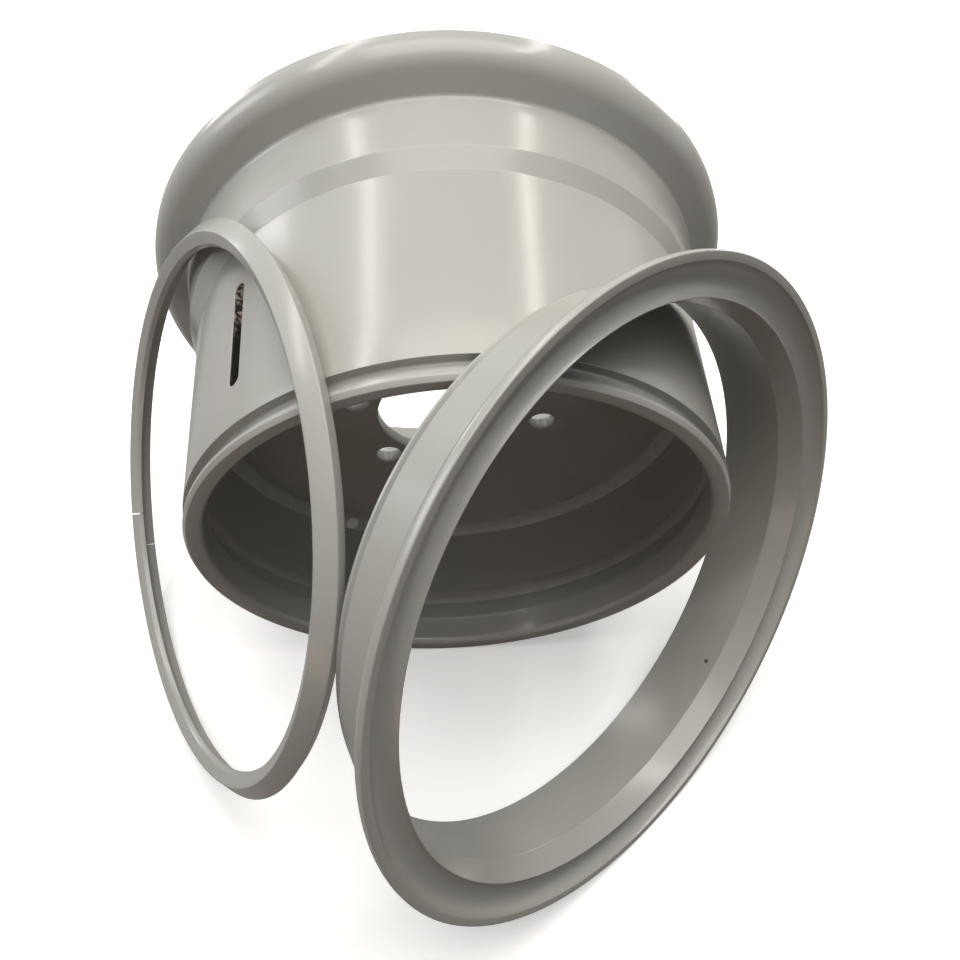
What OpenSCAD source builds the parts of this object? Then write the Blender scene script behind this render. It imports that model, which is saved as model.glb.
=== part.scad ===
// Three-piece earthmover wheel, set out on the floor in its parts.
// The rim base lies on its gutter edge and its back flange, with the open end to the front.
// The loose side ring leans on it from the front right, the split lock ring from the left.
// A section is a list of [distance along the axis, radius]. The distance is counted from the
// gutter face of the rim base, the lip of the side ring and the near edge of the lock ring.

/* [Rim base] */
// Diameter of the bead seats at the foot of the flanges
seat_d = 635; // [620:0.5:650]
// Slope of the bead seats, in degrees
seat_slope = 5; // [3:0.5:7]
// Length of the rim base from the gutter face to the back lip
rim_len = 403; // [390:1:460]
// Depth of the barrel's face below the seat's heel
barrel_drop = 16.9; // [14:0.1:20]
// Wall of the barrel
barrel_wall = 11.1; // [9:0.1:14]
// Distance from the gutter face to the foot of the cone below the back seat
cone_start = 263; // [256:1:275]
// Length of that cone
cone_len = 23; // [15:1:28]

/* [Flanges] */
// Height of the flanges above the bead seats
flange_height = 43.2; // [36:0.1:50]
// Lean of the flange walls away from the tyre, in degrees
wall_lean = 25; // [10:1:30]
// Radius of the fillet between seat and flange
heel_r = 7; // [4:0.5:9]
// Width of the back flange's straight lip
back_band = 10; // [5:0.5:18]
// Radius of the back flange's roll
back_roll = 32; // [24:0.5:36]
// Thickness of the back flange
back_flange_t = 11; // [8:0.5:14]

/* [Gutter] */
// Depth of the land before the groove below the barrel's face
land_drop = 1.3; // [0:0.1:3]
// Length of the chamfer at the land's front
land_chamfer = 5; // [3:0.5:7]
// Fall of that chamfer
land_fall = 3.3; // [1:0.1:5]
// Distance from the gutter face to the groove
groove_from = 9.3; // [8:0.1:14]
// Width of the groove
groove_w = 16.5; // [14:0.5:20]
// Depth of the groove below the land
groove_depth = 9.3; // [6:0.1:11]
// Thickness of the gutter under the groove
gutter_floor = 12; // [9:0.5:15]
// Rounding of the bore's front edge
bore_round = 9; // [4:0.5:9]
// Distance from the gutter face to the end of the straight bore
gutter_bore_end = 38; // [32:1:46]
// Distance from the gutter face to the end of the flare
flare_end = 63; // [56:1:64]
// Width of the notch across the gutter face
notch_w = 10; // [6:0.5:14]
// Depth of the notch
notch_depth = 7; // [4:0.5:8]
// Place of the notch, in degrees below the left side
notch_at = 80.2; // [60:0.2:85]

/* [Seams] */
// Distance from the gutter face to the front seam
front_seam = 74; // [74:0.5:76]
// Distance from the gutter face to the back seam
back_seam = 245; // [235:1:250]
// Width of a seam's weld bead
bead_w = 20; // [14:1:22]
// Height of the bead
bead_h = 1.6; // [1:0.1:2.5]

/* [Mounting disc] */
// Distance from the gutter face to the disc
disc_from = 179; // [170:1:190]
// Thickness of the disc
disc_t = 15; // [12:0.5:18]
// Diameter of the centre bore
centre_bore_d = 176; // [150:1:190]
// Diameter of the bolt circle
bolt_circle_d = 230; // [224:1:260]
// Diameter of the bolt holes
bolt_hole_d = 31; // [24:0.5:32]
// Number of bolt holes
bolt_count = 6; // [4:1:10]
// Gap between the disc and the barrel
disc_gap = 0.3; // [0.1:0.1:1]
// Depth of the bevel on each edge of the disc, which its weld fills
disc_bevel = 5; // [3:0.5:5]
// Leg of the disc's welds along the barrel
weld_leg_barrel = 9; // [6:0.5:12]
// Leg of the disc's welds along the disc
weld_leg_disc = 17; // [10:0.5:20]
// Hollow of the welds' faces
weld_hollow = 1.2; // [0.5:0.1:2]

/* [Valve slot] */
// Distance from the gutter face to the slot
slot_from = 75; // [75:1:90]
// Length of the slot
slot_len = 131; // [110:1:140]
// Width of the slot
slot_w = 16; // [12:0.5:22]
// Place of the slot, in degrees above the left side
slot_at = 39.5; // [20:0.5:70]

/* [Side ring] */
// Length of the side ring from its lip to its toe
side_len = 104; // [98:1:115]
// Width of its straight lip
side_band = 5; // [3:0.5:8]
// Radius of its roll
side_roll = 10; // [8:0.5:14]
// Thickness of its lip
side_lip_t = 9; // [7:0.5:12]
// Length of its seat from the foot of the flange to the bevel
side_seat_len = 58; // [48:1:60]
// Clearance of its bore round the barrel
side_clearance = 4.4; // [1:0.1:5]
// Thickness of its toe
toe_t = 1.4; // [1:0.1:3]
// Length of the flat behind the bevel
toe_flat = 3; // [1:0.5:5]
// Depth of the hollow between lip and collar
hollow_depth = 12; // [8:0.5:13]
// Distance from the lip to the collar's sharp edge
collar_from = 6.4; // [4:0.2:10]
// Height of the collar's sharp edge above the bore
collar_h = 10.6; // [7:0.2:11]
// Width of the flat on the collar's edge
collar_flat = 1; // [0.6:0.1:2]
// Length of the collar's cone
collar_cone = 25.6; // [18:0.2:32]

/* [Lock ring] */
// How much smaller than the groove the free ring is, in radius
spring_in = 6.2; // [2:0.1:9]
// Width of the ring
lock_w = 28.5; // [26:0.5:32]
// Distance from the near edge to the lug
lug_from = 5.3; // [4:0.1:7]
// Width of the lug
lug_w = 6.5; // [5:0.5:8]
// Rise of the lug's top
lug_rise = 3.3; // [1:0.1:5]
// Depth of the ring's inner face above the lug
lug_h = 13.7; // [10:0.1:16]
// Length of the lug's back slope
lug_slope = 1.7; // [1:0.1:3]
// Height of the near edge above the lug
near_edge_h = 16.3; // [14:0.1:18]
// Distance from the near edge to the outer ridge
ridge_from = 16.4; // [14:0.2:20]
// Height of the outer ridge above the lug
ridge_h = 31.6; // [28:0.1:35]
// Height of the far edge above the lug
far_edge_h = 21.2; // [18:0.1:24]
// Chamfer between the inner face and the far edge
far_chamfer = 2.4; // [1:0.1:4]
// Width of the cuts that split the ring
split_w = 1.6; // [1:0.1:4]
// Place of the near half's cut, in degrees round from the ring's right side
split_at = 132.9; // [100:0.1:170]
// Step between the near half's cut and the far half's
split_step = 40; // [20:1:60]

/* [Lean] */
// Turn of the side ring's axis to the left, in degrees
side_turn = 40.3; // [30:0.1:50]
// Lean of the side ring, in degrees
side_lean = 17.75; // [14:0.05:22]
// Place of the side ring to the right along its own plane
side_shift = 48.9; // [0:0.1:80]
// Turn of the lock ring's axis to the right, in degrees
lock_turn = 70.25; // [66:0.05:74]
// Lean of the lock ring, in degrees
lock_lean = 17.5; // [14:0.05:20]
// Place of the lock ring to the back along its own plane
lock_shift = 137.9; // [110:0.1:160]
// Air left where a ring leans on the rim base
lean_gap = 0.3; // [0.2:0.1:1]

/* [Hidden] */
$fn = 180;
arc_steps = 8;
over = 1;
weld_fit = 0.05;
step_gap = 0.4;
approach = 20;
turn_step = 0.3;
settle_tries = 9;

paint = [0.62, 0.63, 0.61];
weld_grey = [0.50, 0.51, 0.51];

seat_r = seat_d / 2;
barrel_r = seat_r - barrel_drop;
bore_r = barrel_r - barrel_wall;
lip_r = seat_r + flange_height;
land_r = barrel_r - land_drop;
groove_r = land_r - groove_depth;
gutter_bore_r = groove_r - gutter_floor;
groove_end = groove_from + groove_w;
toe_z = cone_start + cone_len;
disc_face_r = bore_r - weld_fit - weld_leg_disc;

// Points on an arc round centre c
function arc(c, r, from, to, steps = arc_steps) =
    [for (i = [0:steps])
        let (a = from + (to - from) * i / steps)
        [c.x + r * cos(a), c.y + r * sin(a)]];

// Points of a curve from a to b that bulges by depth to the right of the line between them
function bulge(a, b, depth) =
    let (
        half = norm(b - a) / 2,
        r = (half * half + depth * depth) / (2 * depth),
        side = [b.y - a.y, a.x - b.x] / (2 * half),
        middle = atan2(side.y, side.x),
        swing = asin(half / r))
    arc((a + b) / 2 + side * (depth - r), r, middle - swing, middle + swing);

function reversed(list) = [for (i = [len(list) - 1:-1:0]) list[i]];

// Foot of a flange, where its wall meets the seat, counted from the lip
function foot_z(band, roll) =
    band + (roll - (seat_r - lip_r + roll) * sin(wall_lean)) / cos(wall_lean);

// One face of a flange from the lip to the seat, counted from the lip. It lies depth below
// the tyre side, which keeps the wall's thickness even.
function flange_face(band, roll, depth = 0) =
    let (
        reach = heel_r / cos(seat_slope + wall_lean),
        fillet_c = [foot_z(band, roll) + reach * (cos(seat_slope) - sin(wall_lean)),
                    seat_r + reach * (cos(wall_lean) - sin(seat_slope))])
    concat(
        [[0, lip_r - depth]],
        arc([band, lip_r - roll], roll - depth, 90, wall_lean),
        arc(fillet_c, heel_r + depth, 180 + wall_lean, 270 - seat_slope, 4));

module revolve(section) {
    rotate_extrude()
    polygon([for (p = section) [p.y, p.x]]);
}

// Directions of a piece whose axis is turned to the right and leans forward: along the axis,
// to the right and up
function frame(turn, lean) =
    let (
        along = [sin(turn) * cos(lean), cos(turn) * cos(lean), -sin(lean)],
        right = [cos(turn), -sin(turn), 0])
    [along, right, cross(right, along)];

// Point at distance q.x along the axis and at radius q.y, an angle up from the right
function on_circle(c, frame, q, a) =
    c + q.x * frame[0] + q.y * (cos(a) * frame[1] + sin(a) * frame[2]);

// The reverse: a point's distance along an axis and its radius
function section_of(p, c, frame) =
    let (along = (p - c) * frame[0])
    [along, norm(p - c - along * frame[0])];

// Sections of the rim base
back_foot = rim_len - foot_z(back_band, back_roll);
toe_r = seat_r - (back_foot - toe_z) * tan(seat_slope);
gutter_outline = [[0, land_r - land_fall], [land_chamfer, land_r]];
back_outline = concat(
    [[cone_start, barrel_r], [toe_z, toe_r]],
    [for (p = reversed(flange_face(back_band, back_roll))) [rim_len - p.x, p.y]]);
back_inside = concat(
    [for (p = flange_face(back_band, back_roll, back_flange_t)) [rim_len - p.x, p.y]],
    [[toe_z, toe_r - back_flange_t], [cone_start, bore_r]]);
rim_outline = concat(gutter_outline, [[groove_end, barrel_r]], back_outline);

// The rim base lies on the gutter's land and on the back flange
rim_tilt = max([for (p = back_outline) atan2(p.y - land_r, p.x - land_chamfer)]);
rim_height = max([for (p = rim_outline) p.y * cos(rim_tilt) - p.x * sin(rim_tilt)]);
rim_c = [0, 0, rim_height];
rim_frame = frame(0, -rim_tilt);

// Centre of the mounting disc, which is the part's origin
disc_c = rim_c + (disc_from + disc_t / 2) * rim_frame[0];

module lay(c, turn, lean) {
    translate(c - disc_c)
    rotate([0, 0, -turn])
    rotate([-90 - lean, 0, 0])
    children();
}

module lay_rim() {
    lay(rim_c, 0, -rim_tilt)
    children();
}

// Section of the side ring
side_bore_r = barrel_r + side_clearance;
side_foot = foot_z(side_band, side_roll);
collar_edge = [collar_from, side_bore_r + collar_h];
side_outside = concat(
    flange_face(side_band, side_roll),
    [[side_foot + side_seat_len, seat_r - side_seat_len * tan(seat_slope)],
     [side_len - toe_flat, side_bore_r + toe_t],
     [side_len, side_bore_r + toe_t]]);
side_inside = [collar_edge, [collar_from + collar_cone, side_bore_r], [side_len, side_bore_r]];
side_hollow = bulge(collar_edge + [0, collar_flat], [0, lip_r - side_lip_t], hollow_depth);

// Section of the lock ring
lug_r = groove_r - spring_in;
lug_end = lug_from + lug_w;
lock_outside = [
    [0, lug_r + near_edge_h],
    [ridge_from, lug_r + ridge_h],
    [lock_w, lug_r + far_edge_h]];
lock_inside = [
    [lug_from, lug_r + lug_rise],
    [lug_end, lug_r],
    [lug_end + lug_slope, lug_r + lug_h],
    [lock_w - far_chamfer, lug_r + lug_h]];

// Centre of a ring that stands on the floor, away from the rim base's front
function ring_c(outside, turn, lean, shift, away) =
    let (height = max([for (q = outside) q.x * sin(lean) + q.y * cos(lean)]))
    [shift * cos(turn) - away * sin(turn), -shift * sin(turn) - away * cos(turn), height];

function touches_rim(q) =
    q.x > -lean_gap && q.x < rim_len + lean_gap && q.y < lookup(q.x, rim_outline) + lean_gap;

function touches_ring(q, outside, inside) =
    q.x > -lean_gap && q.x < outside[len(outside) - 1].x + lean_gap
    && q.y < lookup(q.x, outside) + lean_gap && q.y > lookup(q.x, inside) - lean_gap;

// Whether a ring with its centre at c rubs on the rim base. Both pieces are tried by points
// on the edges of their sections.
function rubs(c, frame, outside, inside, step) =
    len([for (q = concat(outside, inside), a = [0:step:359])
        if (touches_rim(section_of(on_circle(c, frame, q, a), rim_c, rim_frame))) a]) > 0
    || len([for (q = concat(gutter_outline, [back_outline[0]]), a = [0:step:359])
        if (touches_ring(section_of(on_circle(rim_c, rim_frame, q, a), c, frame),
            outside, inside)) a]) > 0;

// Distance away at which a ring that comes closer to the rim base first rubs, in steps
function first_rub(outside, under, turn, lean, shift, away) =
    away < 0 || rubs(ring_c(outside, turn, lean, shift, away), frame(turn, lean),
        outside, under, 20 * turn_step) ? away :
    first_rub(outside, under, turn, lean, shift, away - approach);

// Least distance away at which it doesn't, by halving the range between a distance at which
// it rubs and one at which it is free
function settle(outside, under, turn, lean, shift, rubbing, free, tries) =
    tries < 1 ? free :
    let (
        away = (rubbing + free) / 2,
        hit = rubs(ring_c(outside, turn, lean, shift, away), frame(turn, lean),
            outside, under, turn_step))
    settle(outside, under, turn, lean, shift, hit ? away : rubbing, hit ? free : away,
        tries - 1);

module lean_on_rim(outside, inside, turn, lean, shift) {
    under = concat([outside[0]], inside, [outside[len(outside) - 1]]);
    near = first_rub(outside, under, turn, lean, shift, 2 * lip_r);
    away = settle(outside, under, turn, lean, shift, near, near + approach, settle_tries);
    lay(ring_c(outside, turn, lean, shift, away), turn, lean)
    children();
}

module gutter_section() {
    groove = [[groove_from, land_r], [groove_from, groove_r], [groove_end, groove_r]];
    gutter_bore = concat(
        [[front_seam, bore_r], [flare_end, bore_r], [gutter_bore_end, gutter_bore_r]],
        arc([bore_round, gutter_bore_r + bore_round], bore_round, 270, 180, 5));
    section = concat(gutter_outline, groove,
        [[groove_end, barrel_r], [front_seam, barrel_r]], gutter_bore);
    color(paint)
    lay_rim()
    difference() {
        revolve(section);
        rotate([0, 0, 180 - notch_at])
        translate([gutter_bore_r - over, -notch_w / 2, -over])
        cube([land_r - gutter_bore_r + 2 * over, notch_w, notch_depth + over]);
    }
}

module centre_band() {
    color(paint)
    lay_rim()
    difference() {
        revolve([
            [front_seam, barrel_r], [back_seam, barrel_r],
            [back_seam, bore_r], [front_seam, bore_r]]);
        rotate([0, 0, 180 + slot_at])
        slot_cutter();
    }
}

module slot_cutter() {
    near_end = slot_from + slot_w / 2;
    far_end = slot_from + slot_len - slot_w / 2;
    translate([bore_r - 2 * over, 0, 0])
    rotate([0, 90, 0])
    linear_extrude(barrel_wall + 4 * over)
    union() {
        for (z = [near_end, far_end])
            translate([-z, 0])
            circle(d = slot_w);
        translate([-far_end, -slot_w / 2])
        square([far_end - near_end, slot_w]);
    }
}

module back_section() {
    color(paint)
    lay_rim()
    revolve(concat(
        [[back_seam, barrel_r]], back_outline, back_inside, [[back_seam, bore_r]]));
}

// Weld bead inside a seam
module seam_bead(z) {
    r = bore_r - weld_fit;
    color(weld_grey)
    lay_rim()
    revolve(bulge([z - bead_w / 2, r], [z + bead_w / 2, r], bead_h));
}

module gutter_weld() {
    seam_bead(front_seam);
}

module back_weld() {
    seam_bead(back_seam);
}

module mounting_disc() {
    edge_r = bore_r - disc_gap;
    color(paint)
    lay_rim()
    translate([0, 0, disc_from])
    difference() {
        revolve([
            [0, 0], [0, disc_face_r], [disc_bevel, edge_r],
            [disc_t - disc_bevel, edge_r], [disc_t, disc_face_r], [disc_t, 0]]);
        translate([0, 0, -over])
        cylinder(h = disc_t + 2 * over, d = centre_bore_d);
        for (i = [0:bolt_count - 1])
            rotate([0, 0, 180 + slot_at + (i + 0.5) * 360 / bolt_count])
            translate([bolt_circle_d / 2, 0, -over])
            cylinder(h = disc_t + 2 * over, d = bolt_hole_d);
    }
}

// Fillet weld between disc and barrel, on the face at z, with its leg along the barrel
// towards the front or the back. It fills the bevel on the disc's edge.
module disc_weld(z, direction) {
    r = bore_r - weld_fit;
    root = weld_fit - disc_bevel * (r - disc_face_r) / (bore_r - disc_gap - disc_face_r);
    barrel_toe = [z + direction * weld_leg_barrel, r];
    disc_toe = [z + direction * weld_fit, disc_face_r];
    face = direction < 0 ? bulge(disc_toe, barrel_toe, weld_hollow)
        : bulge(barrel_toe, disc_toe, weld_hollow);
    color(weld_grey)
    lay_rim()
    revolve(concat(face, [[z + direction * root, r]]));
}

module disc_front_weld() {
    disc_weld(disc_from, -1);
}

module disc_rear_weld() {
    disc_weld(disc_from + disc_t, 1);
}

module side_ring() {
    color(paint)
    lean_on_rim(side_outside, side_inside, -side_turn, side_lean, side_shift)
    revolve(concat(side_outside, reversed(side_inside), side_hollow));
}

// Cut through the ring's section from z to end, width wide
module split_cut(z, end, at) {
    rotate([0, 0, at])
    translate([lug_r - over, -split_w / 2, z])
    cube([ridge_h + 2 * over, split_w, end - z]);
}

module lock_ring() {
    step = split_step / lug_r * 180 / PI;
    color(paint)
    lean_on_rim(lock_outside, lock_inside, lock_turn, lock_lean, -lock_shift)
    difference() {
        revolve(concat(lock_outside, reversed(lock_inside)));
        split_cut(-over, lock_w / 2, split_at);
        split_cut(lock_w / 2, lock_w + over, split_at - step);
        rotate([0, 0, split_at - step])
        translate([0, 0, (lock_w - step_gap) / 2])
        rotate_extrude(angle = step)
        translate([lug_r - over, 0])
        square([ridge_h + 2 * over, step_gap]);
    }
}

gutter_section();
centre_band();
back_section();
gutter_weld();
back_weld();
mounting_disc();
disc_front_weld();
disc_rear_weld();
side_ring();
lock_ring();
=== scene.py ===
import bmesh
import bpy
import numpy as np
from mathutils import Matrix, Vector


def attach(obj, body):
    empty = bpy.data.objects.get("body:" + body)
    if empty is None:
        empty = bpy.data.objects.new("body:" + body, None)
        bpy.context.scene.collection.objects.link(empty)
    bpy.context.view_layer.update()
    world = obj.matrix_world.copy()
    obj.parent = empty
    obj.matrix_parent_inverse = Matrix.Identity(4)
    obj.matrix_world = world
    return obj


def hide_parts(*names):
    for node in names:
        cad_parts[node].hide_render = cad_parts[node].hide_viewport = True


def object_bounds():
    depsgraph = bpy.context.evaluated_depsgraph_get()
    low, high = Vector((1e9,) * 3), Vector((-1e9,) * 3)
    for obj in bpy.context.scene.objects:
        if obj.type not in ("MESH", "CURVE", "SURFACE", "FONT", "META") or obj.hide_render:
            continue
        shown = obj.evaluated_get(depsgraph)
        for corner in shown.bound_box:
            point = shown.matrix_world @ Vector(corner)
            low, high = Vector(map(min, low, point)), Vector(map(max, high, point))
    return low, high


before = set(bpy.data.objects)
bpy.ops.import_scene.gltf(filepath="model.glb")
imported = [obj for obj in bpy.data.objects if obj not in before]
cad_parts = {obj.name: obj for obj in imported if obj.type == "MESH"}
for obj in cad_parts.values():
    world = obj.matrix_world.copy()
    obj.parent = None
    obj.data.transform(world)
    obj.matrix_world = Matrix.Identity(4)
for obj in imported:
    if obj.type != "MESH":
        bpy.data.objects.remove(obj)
cad_box = [list(corner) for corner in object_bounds()]

# ---- The view ----
# The wheel is seen from above its open front, standing close by it. The picture is square.
PICTURE = 960
FOCAL_PIXELS = 1027.4
FILM_WIDTH = 36.0
SEEN_FROM = (-0.1131, -0.8813, 0.8737)
TO_RIGHT = (0.99290, -0.08800, 0.08002)
TO_TOP = (0.01343, 0.75141, 0.65970)
TO_EYE = (-0.11818, -0.65394, 0.74726)


def stand(right, top, back, place):
    """Matrix of a camera or lamp: its three directions are the columns, and its place the last."""
    return Matrix(np.column_stack([right, top, back, place]).tolist() + [[0, 0, 0, 1]])


camera = bpy.data.objects.new("camera", bpy.data.cameras.new("camera"))
camera.data.sensor_width = FILM_WIDTH
camera.data.lens = FILM_WIDTH * FOCAL_PIXELS / PICTURE
camera.matrix_world = stand(TO_RIGHT, TO_TOP, TO_EYE, SEEN_FROM)
bpy.context.scene.collection.objects.link(camera)
bpy.context.scene.camera = camera
bpy.context.scene.view_settings.view_transform = "Standard"

# ---- Gutter section ----
# The front ring of the rim base, hot rolled to a section and bent to a hoop. A groove near its
# edge takes the lock ring, and a notch is milled through the edge at the bottom. It is sprayed
# with semi-gloss machine paint, as every piece is.
RIM_TILT = 9.04983
RIM_FRONT = (0.0, -184.178, -29.3352)
RIM_PLACE = (RIM_FRONT, 0, -RIM_TILT)
BARREL_R = 300.6
BORE_R = 289.5
LAND_R = 299.3
LAND_FROM = 5.0
FRONT_EDGE_R = 296.0
GROOVE_R = 290.0
GROOVE = (9.3, 25.8)
GUTTER_BORE_R = 278.0
GUTTER_BORE_TAPER = (38.0, 63.0)
GUTTER_EASES = [1.2, 1.5, 0.8, 1.5, 3.0, 0.6, 0, 0, 12, 12, 9]
FRONT_SEAM = 74.0
NOTCH_AT = 180 - 80.2
NOTCH_WIDTH = 10.0
NOTCH_DEPTH = 7.0
TURN_STEPS = 480
PAINT_GREY = (0.40, 0.395, 0.37, 1)
PAINT_DARKER = (0.37, 0.37, 0.35, 1)
PAINT_ROUGH = 0.215
PAINT_IOR = 1.5
PEEL_HEIGHT = 0.00004


class Wire:
    """A shader socket. Sums on it add Math nodes."""

    def __init__(self, socket):
        self.socket = socket

    def sum_with(self, operation, first, second):
        node = self.socket.id_data.nodes.new("ShaderNodeMath")
        node.operation = operation
        for socket, value in zip(node.inputs, (first, second)):
            plug(socket, value)
        return Wire(node.outputs[0])

    def __add__(self, other):
        return self.sum_with("ADD", self, other)

    def __sub__(self, other):
        return self.sum_with("SUBTRACT", self, other)

    def __rsub__(self, other):
        return self.sum_with("SUBTRACT", other, self)

    def __mul__(self, other):
        return self.sum_with("MULTIPLY", self, other)

    def __truediv__(self, other):
        return self.sum_with("DIVIDE", self, other)

    def __rtruediv__(self, other):
        return self.sum_with("DIVIDE", other, self)

    def __pow__(self, other):
        return self.sum_with("POWER", self, other)

    def __rpow__(self, other):
        return self.sum_with("POWER", other, self)

    __radd__, __rmul__ = __add__, __mul__


def plug(socket, value):
    """Links a wire to a socket, or sets the socket to a value, repeated for a vector's parts."""
    if isinstance(value, Wire):
        socket.id_data.links.new(value.socket, socket)
    elif hasattr(socket.default_value, "__len__") and not hasattr(value, "__len__"):
        socket.default_value = [value] * len(socket.default_value)
    else:
        socket.default_value = value


class Finish:
    """A material and the one method that adds nodes to it."""

    def __init__(self, name):
        self.material = bpy.data.materials.new(name)
        self.material.use_nodes = True
        self.tree = self.material.node_tree
        self.shader = self.tree.nodes["Principled BSDF"]

    def node(self, kind, settings, sockets, output=0):
        """A node of this kind with its settings, then its sockets' values or links."""
        node = self.tree.nodes.new("ShaderNode" + kind)
        for name, value in settings.items():
            if name == "stops":
                for stop in range(len(value) - 2):
                    node.color_ramp.elements.new(0.5)
                for element, (place, colour) in zip(node.color_ramp.elements, value):
                    element.position = place
                    element.color = colour
            else:
                setattr(node, name, value)
        for name, value in sockets.items():
            plug(node.inputs[name], value)
        return Wire(node.outputs[output])

    def here(self):
        """The place on the object, in metres in the wheel's own frame."""
        return self.node("TexCoord", {}, {}, "Object")

    def cloud(self, scale, detail=2.0, rough=0.5, warp=0.0):
        """Noise from 0 to 1 with features 1 / scale metres across."""
        return self.node("TexNoise", {}, {
            "Vector": self.here(), "Scale": scale, "Detail": detail,
            "Roughness": rough, "Distortion": warp})

    def ramp(self, value, *stops):
        """A value carried over from (place, result) pairs, level beyond the ends."""
        return self.node(
            "ValToRGB", {"stops": [(p, (v, v, v, 1)) for p, v in stops]}, {"Fac": value})

    def blend(self, share, first, second):
        """The first colour where share is 0 and the second where it is 1."""
        return self.node("Mix", {"data_type": "RGBA"}, {0: share, 6: first, 7: second}, 2)

    def vector(self, operation, sockets, output="Value"):
        """Vector maths on places in the wheel's own frame."""
        return self.node("VectorMath", {"operation": operation}, sockets, output)

    def spot(self, centre, radius, soft=0.5):
        """1 inside a ball and 0 outside it, with a soft rim: the distance over the radius."""
        away = self.vector("DISTANCE", {0: self.here(), 1: centre})
        return self.ramp(away / radius, (1 - soft, 1.0), (1.0, 0.0))

    def ring_radius(self, centre, axis):
        """Distance from an axis: the root of the distance squared less its share along it."""
        off = self.vector("SUBTRACT", {0: self.here(), 1: centre}, "Vector")
        length = self.vector("LENGTH", {0: off})
        along = self.vector("DOT_PRODUCT", {0: off, 1: axis})
        return (length * length - along * along) ** 0.5

    def wear(self, colour, rough, height, distance):
        """Colour, roughness and bump, of a height that is distance metres where it is 1."""
        bump = self.node("Bump", {}, {"Height": height, "Distance": distance, "Strength": 1.0})
        for name, value in (("Base Color", colour), ("Roughness", rough), ("Normal", bump)):
            plug(self.shader.inputs[name], value)
        return self


def machine_paint(name, marks=()):
    """Paint whose grey and shine drift slowly, with orange peel. A mark is a function of the
    paint that gives a mask and the colour under it, where the paint is duller."""
    paint = Finish(name)
    drift = paint.cloud(7.0, 3.0, 0.55)
    rubbed = paint.cloud(22.0, 4.0, 0.6, 0.4)
    colour = paint.blend(drift, PAINT_DARKER, PAINT_GREY)
    rough = PAINT_ROUGH + (rubbed - 0.5) * 0.10 + (drift - 0.5) * 0.06
    for mark in marks:
        mask, tint = mark(paint)
        colour = paint.blend(mask, colour, tint)
        rough = rough + mask * 0.15
    paint.shader.inputs["IOR"].default_value = PAINT_IOR
    peel = paint.cloud(900.0, 2.0) * 0.5 + paint.cloud(420.0, 1.0) * 0.5
    return paint.wear(colour, rough, peel, PEEL_HEIGHT)


def lay(points, centre, turn, lean):
    """Carries points of a piece, whose axis is z, to where it lies, in metres: x to its right, y
    to its underside and z along its axis, from its centre. turn is the axis's angle to the right
    of straight back, and lean the angle by which it points down, in degrees."""
    turn, lean = np.radians([turn, lean])
    along = np.array([np.sin(turn) * np.cos(lean), np.cos(turn) * np.cos(lean), -np.sin(lean)])
    right = np.array([np.cos(turn), -np.sin(turn), 0])
    down = -np.cross(right, along)
    return (points @ np.array([right, down, along]) + centre) / 1000


def eased(corners, radii, steps=4):
    """A closed outline with each corner turned into an arc of its radius that touches both
    sides; a radius of 0 leaves the corner sharp."""
    corners = np.asarray(corners, float)
    before, after = np.roll(corners, 1, 0) - corners, np.roll(corners, -1, 0) - corners
    outline = []
    for corner, one, two, radius in zip(corners, before, after, radii):
        if not radius:
            outline.append(corner[None])
            continue
        one, two = one / np.linalg.norm(one), two / np.linalg.norm(two)
        half = np.arccos(np.clip(one @ two, -1, 1)) / 2
        middle = (one + two) / np.linalg.norm(one + two)
        centre = corner + middle * radius / np.sin(half)
        start = corner + one * radius / np.tan(half) - centre
        end = corner + two * radius / np.tan(half) - centre
        share = np.linspace(0, 1, steps + 1)[:, None]
        swing = np.arccos(np.clip(start @ end / radius**2, -1, 1))
        outline.append(centre + (np.sin((1 - share) * swing) * start
                                 + np.sin(share * swing) * end) / np.sin(swing))
    return np.concatenate(outline)


def hoop(outline, angles):
    """Points of the (z, r) outline carried round the z axis, x = r cos and y = r sin of each
    angle: one row for each. An outline with one row for each angle changes as it goes round."""
    outline = np.broadcast_to(outline, (len(angles),) + np.shape(outline)[-2:])
    z, r = outline[..., 0], outline[..., 1]
    angles = np.radians(angles)[:, None]
    return np.stack([r * np.cos(angles), r * np.sin(angles), z], -1)


def quads(rows, columns, round_rows, round_columns):
    """Faces of a grid of points, closed on itself over rows or columns where asked."""
    index = np.arange(rows * columns).reshape(rows, columns)
    if round_rows:
        index = np.concatenate([index, index[:1]], 0)
    if round_columns:
        index = np.concatenate([index, index[:, :1]], 1)
    corners = [index[:-1, :-1], index[1:, :-1], index[1:, 1:], index[:-1, 1:]]
    return np.stack(corners, -1).reshape(-1, 4)


def rolled(outline, angles, closed=True):
    """A patch of an outline carried once round the axis. closed joins its last point to its
    first."""
    points = hoop(outline, angles)
    return points, quads(*points.shape[:2], True, closed)


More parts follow.
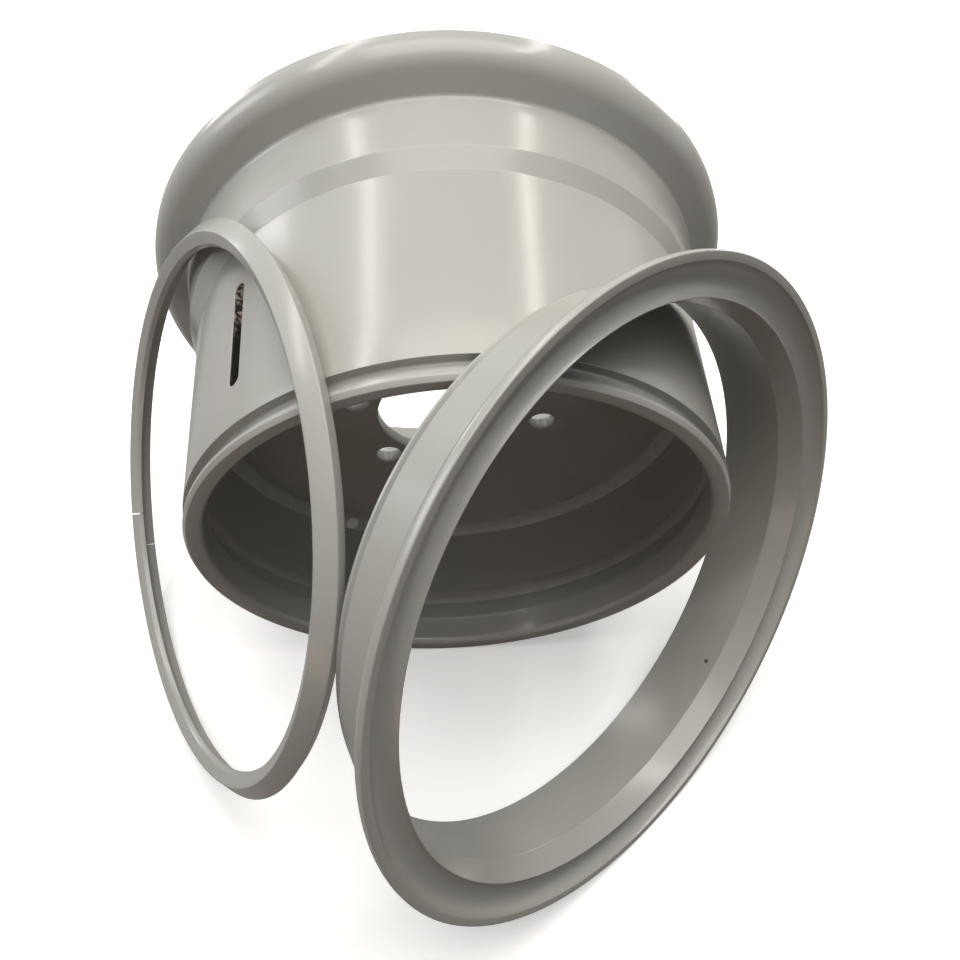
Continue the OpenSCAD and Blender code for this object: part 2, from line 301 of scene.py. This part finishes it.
def steel_piece(name, patches, place, finish, node, crease=32):
    """One piece from patches of (points, faces) in its own millimetres. Patches that meet are
    merged, and edges sharper than crease degrees stay sharp."""
    points, faces, count = [], [], 0
    for patch, patch_faces in patches:
        points.append(np.reshape(patch, (-1, 3)))
        faces.extend((np.asarray(face) + count).tolist() for face in patch_faces)
        count += len(points[-1])
    mesh = bpy.data.meshes.new(name)
    mesh.from_pydata(lay(np.concatenate(points), *place), [], faces)
    build = bmesh.new()
    build.from_mesh(mesh)
    bmesh.ops.remove_doubles(build, verts=build.verts, dist=2e-6)
    bmesh.ops.dissolve_degenerate(build, edges=build.edges, dist=1e-7)
    bmesh.ops.recalc_face_normals(build, faces=build.faces)
    build.to_mesh(mesh)
    build.free()
    mesh.polygons.foreach_set("use_smooth", np.ones(len(mesh.polygons), bool))
    mesh.set_sharp_from_angle(angle=np.radians(crease))
    mesh.materials.append(finish.material)
    piece = bpy.data.objects.new(name, mesh)
    bpy.context.scene.collection.objects.link(piece)
    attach(piece, "root")
    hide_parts(node)


gutter_outline = eased(
    [[0, FRONT_EDGE_R], [LAND_FROM, LAND_R], [GROOVE[0], LAND_R], [GROOVE[0], GROOVE_R],
     [GROOVE[1], GROOVE_R], [GROOVE[1], BARREL_R], [FRONT_SEAM, BARREL_R], [FRONT_SEAM, BORE_R],
     [GUTTER_BORE_TAPER[1], BORE_R], [GUTTER_BORE_TAPER[0], GUTTER_BORE_R], [0, GUTTER_BORE_R]],
    GUTTER_EASES)
notch_half = np.degrees(NOTCH_WIDTH / 2 / GUTTER_BORE_R)
around = np.linspace(NOTCH_AT + notch_half, NOTCH_AT - notch_half + 360, TURN_STEPS)
around = np.concatenate([around, NOTCH_AT + np.array([-notch_half, 0, notch_half])])
in_notch = np.arange(len(around)) >= TURN_STEPS
gutter_outlines = np.repeat(gutter_outline[None], len(around), 0)
gutter_outlines[in_notch, :, 0] = np.maximum(gutter_outlines[in_notch, :, 0], NOTCH_DEPTH)
steel_piece("gutter", [rolled(gutter_outlines, around)], RIM_PLACE,
            machine_paint("gutter_paint"), "gutter_section")

# ---- Centre band ----
# A plain strip of plate, rolled to a hoop and butt welded between the two end sections, with its
# seams ground flush outside. The long slot for the valve is flame cut and dressed by hand.
BACK_SEAM = 245.0
BAND_T = BARREL_R - BORE_R
SLOT_AT = 180 + 39.5
SLOT_FROM = 75.0
SLOT_LENGTH = 131.0
SLOT_WIDTH = 16.0
SLOT_EDGE = 0.8
PATCH_TO = 220.0
PATCH_SPREAD = 9.0
RIM_AXIS = (0.0, 0.987552, 0.157293)
SLOT_END = (-0.2276, -0.0210, 0.1866)
# Painted shade in the valve slot, and painted glints of the lit weld seen through it.
SLOT_SHADE_BLACK = (0.018, 0.019, 0.018, 1)
SLOT_GLINT_BROWN = (0.62, 0.50, 0.38, 1)


def edge_steps(wall, ease, steps=3):
    """How far a hole's edge lies outside its wall, and how deep, from one face of a plate to the
    other: a quarter circle of radius ease at each face."""
    swing = np.radians(np.linspace(0, 90, steps + 1))
    grown, depth = ease * (1 - np.sin(swing)), ease * (1 - np.cos(swing))
    return np.column_stack([np.append(grown, grown[::-1]), np.append(depth, wall - depth[::-1])])


def round_hole(edge, hole, wall, ease, rings=6):
    """Loops of a plate's patch round a hole, as (one side, across, depth): from the patch's edge
    over the front face to the hole, down its wall and back over the rear face. hole gives the
    hole's edge grown by a distance."""
    steps = edge_steps(wall, ease)
    share = np.linspace(0, 1, rings + 1)[:-1, None, None]
    front = edge * (1 - share) + hole(ease) * share
    loops = np.concatenate([front, np.stack([hole(grown) for grown in steps[:, 0]]), front[::-1]])
    depth = np.concatenate([np.zeros(rings), steps[:, 1], np.full(rings, wall)])
    depth = np.broadcast_to(depth[:, None, None], loops.shape[:2] + (1,))
    return np.concatenate([loops, depth], -1)


def round_frame(across, along):
    """Points round a box whose corners and side points are given by two rising rows."""
    return np.concatenate([
        np.column_stack([across[:-1], np.full(len(across) - 1, along[0])]),
        np.column_stack([np.full(len(along) - 1, across[-1]), along[:-1]]),
        np.column_stack([across[:0:-1], np.full(len(across) - 1, along[-1])]),
        np.column_stack([np.full(len(along) - 1, across[0]), along[:0:-1]])])


def slot_edge(grown):
    """The slot's edge nearest to each point of the patch's edge: half a width from its spine."""
    spine = np.column_stack([0 * band_edge[:, 0], np.clip(band_edge[:, 1], *slot_spine)])
    away = band_edge - spine
    return spine + away / np.linalg.norm(away, axis=1)[:, None] * (SLOT_WIDTH / 2 + grown)


def on_barrel(round_it, z, depth):
    """Points on the barrel: millimetres round it from the slot, z, and depth below its face."""
    angle = np.radians(SLOT_AT) + round_it / BARREL_R
    r = BARREL_R - depth
    return np.stack([r * np.cos(angle), r * np.sin(angle), z + 0 * angle], -1)


def slot_shade_and_glints(paint):
    """Painted shade on the slot's wall between the barrel's two faces, black for the shaded inside
    seen through the slot, and painted glints of the lit weld as brown flecks at its rear end."""
    off_axis = paint.ring_radius([v / 1000 for v in RIM_FRONT], RIM_AXIS)
    up_wall = (off_axis - BORE_R / 1000) / (BAND_T / 1000)
    wall = (paint.ramp(up_wall, (0.04, 0.0), (0.07, 1.0))
            - paint.ramp(up_wall, (0.86, 0.0), (0.93, 1.0)))
    grains = paint.ramp(paint.cloud(150.0, 3.0, 0.7, 0.5), (0.50, 0.0), (0.58, 1.0))
    # Painted glints: brown flecks near the slot's rear end.
    slot_glints = grains * paint.spot(SLOT_END, 0.055, 0.6)
    return wall, paint.blend(slot_glints, SLOT_SHADE_BLACK, SLOT_GLINT_BROWN)


slot_spine = (SLOT_FROM + SLOT_WIDTH / 2, SLOT_FROM + SLOT_LENGTH - SLOT_WIDTH / 2)
patch_across = PATCH_SPREAD * np.tan(np.radians(np.linspace(-72, 72, 19)))
patch_along = np.concatenate([
    np.linspace(FRONT_SEAM, slot_spine[0], 5), np.linspace(*slot_spine, 12)[1:],
    np.linspace(slot_spine[1], PATCH_TO, 6)[1:]])
band_edge = round_frame(patch_across, patch_along)
slot_patch = round_hole(band_edge, slot_edge, BAND_T, SLOT_EDGE)
patch_half = patch_across[-1] / BARREL_R
rest = np.linspace(patch_half, 2 * np.pi - patch_half, TURN_STEPS)[1:-1] * BARREL_R
band_round = np.concatenate([patch_across, rest])
band_z = np.append(patch_along, BACK_SEAM)
band_faces = quads(len(band_round), len(band_z), True, False).reshape(len(band_round), -1, 4)
outside_patch = np.ones(band_faces.shape[:2], bool)
outside_patch[:len(patch_across) - 1, :len(patch_along) - 1] = False
skins = [on_barrel(*np.meshgrid(band_round, band_z, indexing="ij"), depth) for depth in (0, BAND_T)]
seams = [np.stack([skin[:, end] for skin in skins], 1) for end in (0, -1)]
steel_piece(
    "band",
    [(skin, band_faces[outside_patch]) for skin in skins]
    + [(seam, quads(len(band_round), 2, True, False)) for seam in seams]
    + [(on_barrel(*np.moveaxis(slot_patch, -1, 0)), quads(*slot_patch.shape[:2], False, True))],
    RIM_PLACE, machine_paint("band_paint", [slot_shade_and_glints]), "centre_band")

# ---- Back section ----
# The rear ring of the rim base, hot rolled with its flange. Its tapered seat carries the tyre's
# bead, and the cone before it leads down to the barrel.
SEAT_R = 317.5
SEAT_SLOPE = 5.0
LIP_R = 360.7
FLANGE_LEAN = 25.0
FLANGE_T = 11.0
FLANGE_ROLL = 32.0
HEEL_ROUND = 7.0
RIM_LENGTH = 403.0
BACK_FOOT = 352.469
CONE = (263.0, 286.0)
CONE_ROUNDS = (4.0, 5.0)
CONE_INNER_ROUND = 20.0
LIP_ROUNDS = (3.5, 1.5)


def flange_corners(foot, towards, depth=0.0):
    """Corners of one face of a flange where its wall meets the seat and the lip, for a face that
    lies depth below the tyre's side. towards is 1 where the lip lies at greater z."""
    lean, slope = np.tan(np.radians([FLANGE_LEAN, SEAT_SLOPE]))
    wall = np.array([foot + towards * depth * np.cos(np.radians(FLANGE_LEAN)),
                     SEAT_R - depth * np.sin(np.radians(FLANGE_LEAN))])
    seat = np.array([foot, SEAT_R - depth / np.cos(np.radians(SEAT_SLOPE))])
    run = (wall[0] - seat[0] + towards * (seat[1] - wall[1]) * lean) / (1 - lean * slope)
    heel = seat + [run, towards * run * slope]
    lip = [wall[0] + towards * (LIP_R - depth - wall[1]) * lean, LIP_R - depth]
    return heel, lip


def seat_radius(z, foot, towards):
    """Radius of the tapered seat at z: the seat's at the flange's foot, less the taper's fall."""
    return SEAT_R - towards * (foot - z) * np.tan(np.radians(SEAT_SLOPE))


heel, lip = flange_corners(BACK_FOOT, 1)
inner_heel, inner_lip = flange_corners(BACK_FOOT, 1, FLANGE_T)
toe_r = seat_radius(CONE[1], BACK_FOOT, 1)
back_outline = eased(
    [[BACK_SEAM, BARREL_R], [CONE[0], BARREL_R], [CONE[1], toe_r], heel, lip,
     [RIM_LENGTH, LIP_R], [RIM_LENGTH, LIP_R - FLANGE_T], inner_lip, inner_heel,
     [CONE[1], toe_r - FLANGE_T], [CONE[0], BORE_R], [BACK_SEAM, BORE_R]],
    [0, *CONE_ROUNDS, HEEL_ROUND, FLANGE_ROLL, *LIP_ROUNDS, FLANGE_ROLL - FLANGE_T,
     HEEL_ROUND + FLANGE_T, CONE_INNER_ROUND, CONE_INNER_ROUND, 0], steps=12)
full_turn = np.linspace(0, 360, TURN_STEPS + 1)[:-1]
steel_piece("back", [rolled(back_outline, full_turn)], RIM_PLACE,
            machine_paint("back_paint"), "back_section")

# ---- Welds inside the barrel ----
# Beads of the two seams, laid by machine and left as welded, so they stand proud of the bore
# with fine ripples across them. They are painted over with the rest.
BEAD_WIDTH = 20.0
BEAD_HEIGHT = 1.6
BEAD_RIPPLE = 0.2
WELD_GAP = 0.05
RIPPLE_PITCH = 7.0
WELD_STEPS = 1800
WELD_ROUGH = 0.42
WELD_GRAIN = 0.0002
# Painted light: the lighter grey stands for the fillets' hollow faces catching the light.
WELD_LIT_GREY = (0.43, 0.415, 0.395, 1)
WELD_DARKER = (0.37, 0.36, 0.345, 1)
# Painted highlight: a pale spot that stands for a glint on the disc's front weld.
WELD_GLINT_AT = (-0.1215, 0.0285, -0.2540)
WELD_GLINT_PALE = (0.80, 0.79, 0.76, 1)


def weld_finish(name):
    """Paint on a weld's rough face, with a pale painted highlight at the foot of the disc's weld.
    """
    weld = Finish(name)
    drift = weld.ramp(weld.cloud(30.0, 4.0, 0.6), (0.3, 0.0), (0.7, 1.0))
    grain = weld.cloud(600.0, 3.0, 0.6)
    # Painted light: the welds drift up to a grey lighter than the paint's.
    colour = weld.blend(drift, WELD_DARKER, WELD_LIT_GREY)
    # Painted highlight at the foot of the disc's weld.
    colour = weld.blend(weld.spot(WELD_GLINT_AT, 0.010, 0.3), colour, WELD_GLINT_PALE)
    return weld.wear(colour, WELD_ROUGH + (grain - 0.5) * 0.16, grain, WELD_GRAIN)


def bead(outline, top):
    """A weld's outline carried round the bore. Its free face rises and falls by ripples, a sine
    of its own count plus two slow ones, which fade out towards its toes. top gives how much each
    point of the outline ripples, as (z, r)."""
    angles = np.linspace(0, 360, WELD_STEPS + 1)[:-1]
    count = round(2 * np.pi * BORE_R / RIPPLE_PITCH)
    lag = np.linalg.norm(top, axis=1)
    wave = np.sin(np.radians(angles * count)[:, None] - 2.5 * lag[None])
    slow = np.sin(np.radians(angles * 11)) * 0.5 + np.sin(np.radians(angles * 29)) * 0.3
    rise = (0.6 * wave + 0.6 * slow[:, None])[..., None] * top[None]
    return [rolled(outline[None] + rise, angles)]


weld_root = BORE_R - WELD_GAP
across = np.linspace(-1, 1, 11)
for name, node, seam in (("gutter_bead", "gutter_weld", FRONT_SEAM),
                         ("back_bead", "back_weld", BACK_SEAM)):
    outline = np.column_stack([
        seam + across * BEAD_WIDTH / 2, weld_root - BEAD_HEIGHT * (1 - across**2)])
    top = np.column_stack([0 * across, BEAD_RIPPLE * (1 - across**2)])
    steel_piece(name, bead(outline, top), RIM_PLACE, weld_finish(name + "_paint"), node)

# ---- Mounting disc ----
# Flat plate, cut to a disc that fits the barrel's bore, with the hub's bore in its middle and the
# stud holes on a circle round it, all with their edges broken. Its rim is bevelled for the welds.
DISC_FROM = 179.0
DISC_T = 15.0
DISC_R = 289.2
DISC_FACE_R = 272.45
DISC_BEVEL = 5.0
HUB_BORE_R = 88.0
STUD_CIRCLE_R = 115.0
STUD_HOLE_R = 15.5
STUDS = 6
DISC_EDGE = 1.0
SECTOR_STEPS = 24

sector = np.radians(180 / STUDS)
disc_edge = round_frame(
    np.append(np.linspace(HUB_BORE_R + DISC_EDGE, 150, 12), [180, 220, 250, DISC_FACE_R]),
    np.linspace(-sector, sector, SECTOR_STEPS + 1))


def stud_hole(grown):
    """The edge of a stud hole nearest to each point of its sector's edge, as radius and angle."""
    r, angle = disc_edge.T
    away = np.column_stack([r * np.cos(angle) - STUD_CIRCLE_R, r * np.sin(angle)])
    away *= (STUD_HOLE_R + grown) / np.linalg.norm(away, axis=1)[:, None]
    x, y = away[:, 0] + STUD_CIRCLE_R, away[:, 1]
    return np.column_stack([np.hypot(x, y), np.arctan2(y, x)])


r, angle, depth = np.moveaxis(round_hole(disc_edge, stud_hole, DISC_T, DISC_EDGE, rings=8), -1, 0)
disc_patches = []
for stud in range(STUDS):
    swing = angle + np.radians(SLOT_AT) + (2 * stud + 1) * sector
    points = np.stack([r * np.cos(swing), r * np.sin(swing), DISC_FROM + depth], -1)
    disc_patches.append((points, quads(*r.shape, False, True)))
disc_turn = SLOT_AT + np.degrees(np.concatenate(
    [np.linspace(0, 2 * sector, SECTOR_STEPS + 1)[:-1] + 2 * sector * k for k in range(STUDS)]))
bore_steps = edge_steps(DISC_T, DISC_EDGE)
bore_wall = np.column_stack([DISC_FROM + bore_steps[:, 1], HUB_BORE_R + bore_steps[:, 0]])
disc_to = DISC_FROM + DISC_T
bevelled_rim = np.array([[DISC_FROM, DISC_FACE_R], [DISC_FROM + DISC_BEVEL, DISC_R],
                         [disc_to - DISC_BEVEL, DISC_R], [disc_to, DISC_FACE_R]])
disc_patches += [rolled(outline, disc_turn, False) for outline in (bore_wall, bevelled_rim)]
steel_piece("disc", disc_patches, RIM_PLACE, machine_paint("disc_paint"), "mounting_disc")

# ---- Welds of the disc ----
# One fillet weld runs round each face of the disc where it meets the barrel, hollow across its
# face and laid by hand, so its ripples are coarser than the seams'.
LEG_BARREL = 9.0
LEG_DISC = 17.0
WELD_HOLLOW = 1.2
FILLET_RIPPLE = 0.5

share = np.linspace(0, 1, 13)[:, None]
sag = 4 * share * (1 - share)
for name, node, face, towards in (("front_fillet", "disc_front_weld", DISC_FROM, -1),
                                  ("rear_fillet", "disc_rear_weld", disc_to, 1)):
    barrel_toe = np.array([face + towards * LEG_BARREL, weld_root])
    disc_toe = np.array([face + towards * WELD_GAP, weld_root - LEG_DISC])
    inward = np.array([-towards * LEG_DISC, LEG_BARREL]) / np.hypot(LEG_BARREL, LEG_DISC)
    free_face = barrel_toe + share * (disc_toe - barrel_toe) + WELD_HOLLOW * sag * inward
    outline = np.concatenate([free_face, [[face - towards * DISC_BEVEL, weld_root]]])
    top = np.concatenate([-FILLET_RIPPLE * sag * inward, [[0, 0]]])
    steel_piece(name, bead(outline, top), RIM_PLACE, weld_finish(name + "_paint"), node)

# ---- Side ring ----
# The loose ring with the front bead seat and flange. It is rolled in one piece, slides over the
# gutter, and its collar is what the lock ring holds. It leans on the rim's right front edge.
SIDE_PLACE = ((170.413, -309.518, 21.4031), -40.3, 17.75)
SIDE_LENGTH = 104.0
SIDE_BORE_R = 305.0
SIDE_FOOT = 31.5
SIDE_LIP_T = 9.0
SIDE_ROLL = 10.0
SEAT_END = 89.5
TAIL_R = 306.4
TAIL_FROM = 101.0
COLLAR = (6.4, 32.0)
COLLAR_R = 316.6
COLLAR_STEP = 1.0
HOLLOW_DEPTH = 12.0
SCUFF_AT = (-0.0941, -0.4590, 0.1890)
SCUFF_GREY = (0.20, 0.19, 0.18, 1)
CHIP_AT = (0.3238, -0.2248, -0.2321)
CHIP_BLACK = (0.05, 0.045, 0.04, 1)


def arc(centre, radius, start, end, steps):
    """Points on an arc, as (z, r) rows: its centre plus the radius times the cosine and sine of
    angles from start to end in degrees."""
    angle = np.radians(np.linspace(start, end, steps + 1))
    return np.asarray(centre) + radius * np.column_stack([np.cos(angle), np.sin(angle)])


def scuffed(paint):
    """A short scuff on the flange's lip, where a sling has rubbed it: broken noise in a ball."""
    broken = paint.ramp(paint.cloud(700.0, 4.0, 0.7), (0.50, 0.0), (0.60, 1.0))
    return paint.spot(SCUFF_AT, 0.011) * broken, SCUFF_GREY


def chipped(paint):
    """A small chip in the bore, through the paint."""
    return paint.spot(CHIP_AT, 0.0032, 0.4), CHIP_BLACK


heel, lip = flange_corners(SIDE_FOOT, -1)
collar_edge, lip_edge = np.array([COLLAR[0], COLLAR_R]), np.array([0, LIP_R - SIDE_LIP_T])
chord_half = np.linalg.norm(lip_edge - collar_edge) / 2
hollow_r = (chord_half**2 + HOLLOW_DEPTH**2) / (2 * HOLLOW_DEPTH)
deep = np.array([lip_edge[1] - collar_edge[1], collar_edge[0] - lip_edge[0]]) / (2 * chord_half)
middle = np.degrees(np.arctan2(deep[1], deep[0]))
swing = np.degrees(np.arcsin(chord_half / hollow_r))
hollow = arc((collar_edge + lip_edge) / 2 + deep * (HOLLOW_DEPTH - hollow_r), hollow_r,
             middle - swing, middle + swing, 24)
side_outline = np.concatenate([
    eased([[0, LIP_R - 4], [0, LIP_R], lip, heel,
           [SEAT_END, seat_radius(SEAT_END, SIDE_FOOT, -1)], [TAIL_FROM, TAIL_R],
           [SIDE_LENGTH, TAIL_R], [SIDE_LENGTH, SIDE_BORE_R], [COLLAR[1], SIDE_BORE_R],
           [COLLAR[0], COLLAR_R - COLLAR_STEP]],
          [0, 1.5, SIDE_ROLL, HEEL_ROUND, 1.5, 1.5, 0.5, 0.5, 3, 0.4], steps=10),
    hollow[:-1], [[0.35, LIP_R - SIDE_LIP_T - 0.1], [0, LIP_R - SIDE_LIP_T + 1.2]]])
steel_piece("side", [rolled(side_outline, full_turn)], SIDE_PLACE,
            machine_paint("side_paint", [scuffed, chipped]), "side_ring")

# ---- Lock ring ----
# The split ring that springs into the gutter's groove and holds the side ring on. It is rolled,
# bent to a hoop and cut through with a step, so its ends overlap side by side.
LOCK_PLACE = ((-284.424, -139.778, -18.3891), 70.25, 17.5)
LUG_R = 283.8
LOCK_WIDTH = 28.5
CROWN_FROM = (0.0, LUG_R + 16.3)
CROWN_TO = (16.4, LUG_R + 31.6)
UNDERSIDE_R = LUG_R + 13.7
SPLIT_AT = 132.9
SPLIT_WIDTH = 1.6
SPLIT_STEP = 40.0
TONGUE_STEPS = 14

lock_outline = eased(
    [CROWN_FROM, CROWN_TO, [LOCK_WIDTH, LUG_R + 21.2], [26.1, UNDERSIDE_R], [13.5, UNDERSIDE_R],
     [11.8, LUG_R], [5.3, LUG_R + 3.3]],
    [1.5, 1.2, 1.2, 1.0, 1.5, 1.2, 1.2], steps=5)
lock_z, lock_r = lock_outline.T
lock_middle = LOCK_WIDTH / 2
crown_r = np.interp(lock_middle, *zip(CROWN_FROM, CROWN_TO))
above_middle = lock_r > LUG_R + 15 + 0.2 * lock_z
cut_points = np.column_stack([
    np.full(len(lock_z), lock_middle), np.where(above_middle, crown_r, UNDERSIDE_R)])


def tongue(gone):
    """The lock ring's outline cut down to one half: points that are gone lie on the cut, which
    runs along the ring's middle plane."""
    return np.where(gone[:, None], cut_points, lock_outline)


gap = np.degrees(SPLIT_WIDTH / 2 / LUG_R)
step = np.degrees(SPLIT_STEP / LUG_R)
near_from, full_from = SPLIT_AT - step + gap, SPLIT_AT + gap
full_to, far_to = SPLIT_AT - step + 360 - gap, SPLIT_AT + 360 - gap
skin = np.concatenate([
    hoop(tongue(lock_z < lock_middle), np.linspace(near_from, full_from, TONGUE_STEPS)),
    hoop(lock_outline, np.linspace(full_from, full_to, TURN_STEPS)),
    hoop(tongue(lock_z > lock_middle), np.linspace(full_to, far_to, TONGUE_STEPS))])
round_section = np.arange(len(lock_outline))
ends = [round_section[::-1], (len(skin) - 1) * len(lock_outline) + round_section]
steel_piece("lock", [(skin, list(quads(*skin.shape[:2], False, True)) + ends)], LOCK_PLACE,
            machine_paint("lock_paint"), "lock_ring")

# ---- Studio ----
# A white floor that runs out of sight, an even white room and a few soft lamps, two of them long
# tubes that streak the barrel. Shiny paint shows the room white and the floor grey.
WARM = (1.0, 0.97, 0.91)
COOL = (0.88, 0.95, 1.0)
EARTHY = (1.0, 0.64, 0.47)
TUBE_ALONG = (0.22, 1, 0)
ROOM_DIM = 0.04
FLOOR_REACH = 40.0
FLOOR_WHITE = (0.95, 0.95, 0.95, 1)
FLOOR_UNSEEN = (0.10, 0.08, 0.065, 1)
FLOOR_IN_SHINE = 0.3
FLOOR_GLOW = ((0.15, 0.35), (0.7, 1.0))
GLOW_REACH = 10.0


def lamp(name, place, towards, size, power, colour=(1, 1, 1), along=(0, 0, 1)):
    """A flat lamp that faces a point, its second side as near to along as may be."""
    light = bpy.data.lights.new(name, "AREA")
    light.shape = "RECTANGLE"
    light.size, light.size_y = size
    light.energy = power
    light.color = colour
    away = np.subtract(towards, place)
    side = np.cross(away, along)
    side /= np.linalg.norm(side)
    back = -away / np.linalg.norm(away)
    lamp_object = bpy.data.objects.new(name, light)
    lamp_object.matrix_world = stand(side, np.cross(back, side), back, place)
    bpy.context.scene.collection.objects.link(lamp_object)


lamp("ceiling", (-0.1, 0.1, 4.2), (-0.1, 0.1, 0), (3.6, 3.6), 128, WARM, (0, 1, 0))
lamp("hall", (-0.1, -0.6, 4.6), (-0.1, -0.6, 0), (8.0, 7.0), 116, WARM, (0, 1, 0))
lamp("left_tube", (-1.50, 2.4, 2.6), (-1.50, 2.4, 0), (0.16, 5.0), 50, WARM, TUBE_ALONG)
lamp("right_tube", (1.52, 2.4, 2.6), (1.52, 2.4, 0), (0.11, 5.0), 38, WARM, TUBE_ALONG)
lamp("left_window", (-3.3, 3.7, 0.7), (0, 0, 0), (0.8, 1.2), 20)
lamp("right_window", (3.4, 4.3, 0.2), (0, 0, 0), (0.35, 1.4), 34, WARM)
lamp("left_door", (-3.6, 0.7, 1.7), (0, 0, 0), (1.5, 1.5), 34, COOL)
lamp("left_low", (-0.9, -1.9, -0.28), (-0.2, -0.1, -0.1), (1.2, 0.6), 3.5, EARTHY)

world = bpy.data.worlds.new("room")
bpy.context.scene.world = world
world.use_nodes = True
background = world.node_tree.nodes["Background"]
background.inputs["Color"].default_value = (1, 1, 1, 1)
ray = world.node_tree.nodes.new("ShaderNodeLightPath")
seen, shiny, through = [
    Wire(ray.outputs[kind]) for kind in ("Is Camera Ray", "Is Glossy Ray", "Is Transmission Ray")]
plug(background.inputs["Strength"], (seen + shiny + through) * (1 - ROOM_DIM) + ROOM_DIM)

floor_at = min(float(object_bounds()[0][2]), cad_box[0][2])
floor_mesh = bpy.data.meshes.new("floor")
floor_mesh.from_pydata(
    [(x * FLOOR_REACH, y * FLOOR_REACH, floor_at) for x, y in ((-1, -1), (1, -1), (1, 1), (-1, 1))],
    [], [(0, 1, 2, 3)])
floor_piece = bpy.data.objects.new("floor", floor_mesh)
bpy.context.scene.collection.objects.link(floor_piece)
white = Finish("floor_white")
seen, shiny, through = [
    white.node("LightPath", {}, {}, kind)
    for kind in ("Is Camera Ray", "Is Glossy Ray", "Is Transmission Ray")]
looked_at = seen + through + shiny * FLOOR_IN_SHINE
away = white.vector("LENGTH", {0: white.here()})
glow = white.ramp(away / GLOW_REACH, *FLOOR_GLOW)
plug(white.shader.inputs["Base Color"], white.blend(looked_at, FLOOR_UNSEEN, FLOOR_WHITE))
plug(white.shader.inputs["Emission Color"], white.blend(looked_at, (0, 0, 0, 1), glow))
white.shader.inputs["Emission Strength"].default_value = 1.0
white.shader.inputs["Roughness"].default_value = 0.9
floor_mesh.materials.append(white.material)
